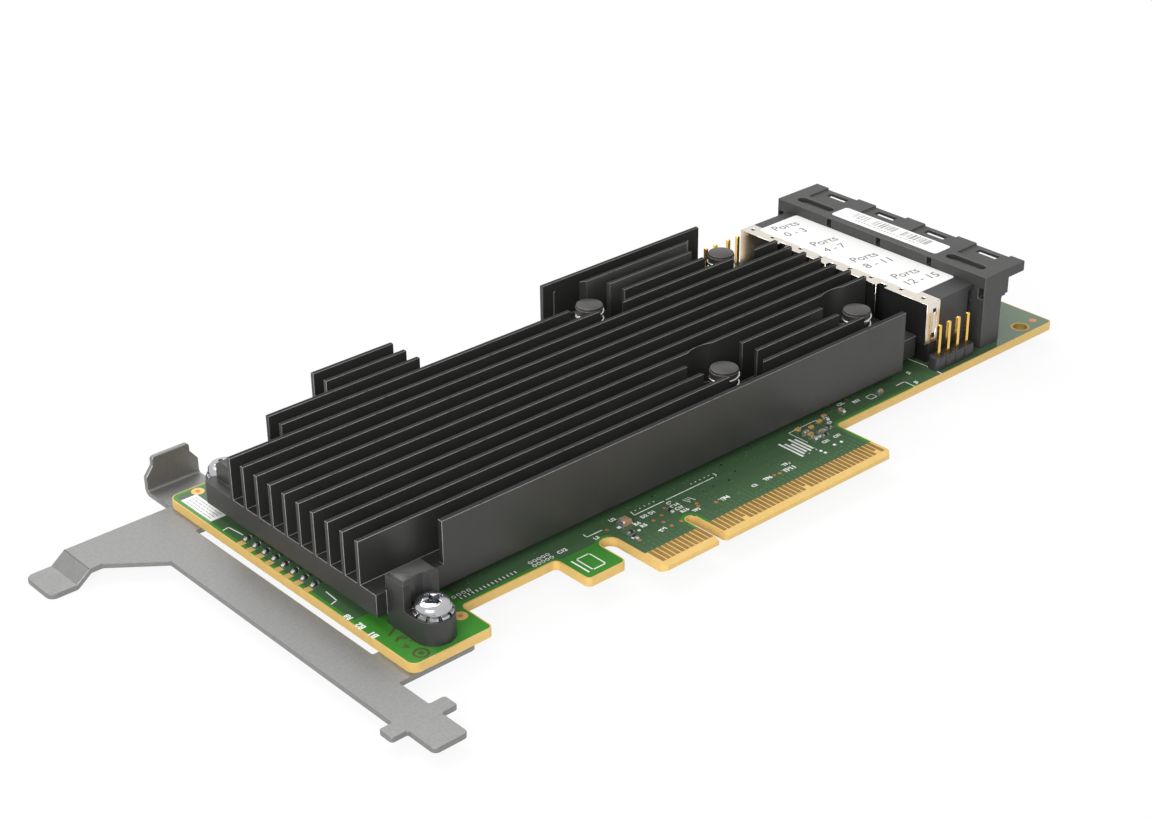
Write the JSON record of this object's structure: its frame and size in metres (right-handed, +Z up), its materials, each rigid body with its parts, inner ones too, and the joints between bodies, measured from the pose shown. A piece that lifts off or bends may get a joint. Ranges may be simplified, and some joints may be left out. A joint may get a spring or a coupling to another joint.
{
  "type": "raid controller card",
  "caption": "Low-profile storage controller board with a stepped finned heatsink, gold edge connector, ganged cable sockets and a flat sheet bracket.",
  "frame": {"origin": "centre of the bounding box in plan, at the height of the lowest points of the pin tips and bracket arm", "axes": "+X along the board from the bracket to the cable sockets, +Y away from the edge connector's tips, +Z up from the component side"},
  "size_m": [0.182, 0.0864, 0.0185],
  "materials": {
    "board": "green solder mask with ochre cut edges",
    "gold": "gold plated contact pads",
    "black_aluminium": "black anodised",
    "pin_metal": "bright plated",
    "spring_steel": "bright wire",
    "screw_steel": "nickel plated",
    "zinc_steel": "zinc coated sheet",
    "shell_metal": "warm nickel plated sheet",
    "black_resin": "black moulded resin",
    "grey_resin": "dark grey moulded resin",
    "tin": "tinned pins",
    "label": "white printed label",
    "pin_gold": "gold plated pins",
    "chip_epoxy": "black epoxy",
    "thermal_pad": "grey thermal pad",
    "inductor": "dark grey pressed powder",
    "tan_ceramic": "tan ceramic",
    "resistor": "black film on white ceramic",
    "tantalum": "yellow moulded epoxy"
  },
  "bodies": {
    "root": {"circuit_board": "board", "edge_contacts_top": "gold", "edge_contacts_bottom": "gold", "heatsink": "black_aluminium", "push_pins": "pin_metal", "push_pin_springs": "spring_steel", "lug_screws": "screw_steel", "lock_washers": "screw_steel", "bracket": "zinc_steel", "socket_shell": "shell_metal", "socket_body": "black_resin", "guide_housing": "grey_resin", "contact_tongues": "black_resin", "socket_contacts": "gold", "socket_tails": "tin", "port_label": "label", "code_label": "label", "board_label": "label", "front_header_base": "black_resin", "rear_header_bases": "black_resin", "front_header_pins": "pin_gold", "rear_header_pins": "pin_gold", "header_solder_joints": "tin", "controller_chip": "chip_epoxy", "controller_pad": "thermal_pad", "memory_chips": "chip_epoxy", "memory_pads": "thermal_pad", "flash_chip": "chip_epoxy", "crystal": "tin", "power_inductors": "inductor", "voltage_regulators": "chip_epoxy", "block_capacitor": "tan_ceramic", "chip_capacitors": "tan_ceramic", "chip_resistors": "resistor", "edge_row_parts": "tan_ceramic", "underside_capacitors": "tan_ceramic", "underside_regulators": "chip_epoxy", "underside_tantalums": "tantalum", "underside_drivers": "chip_epoxy"}
  },
  "joints": []
}
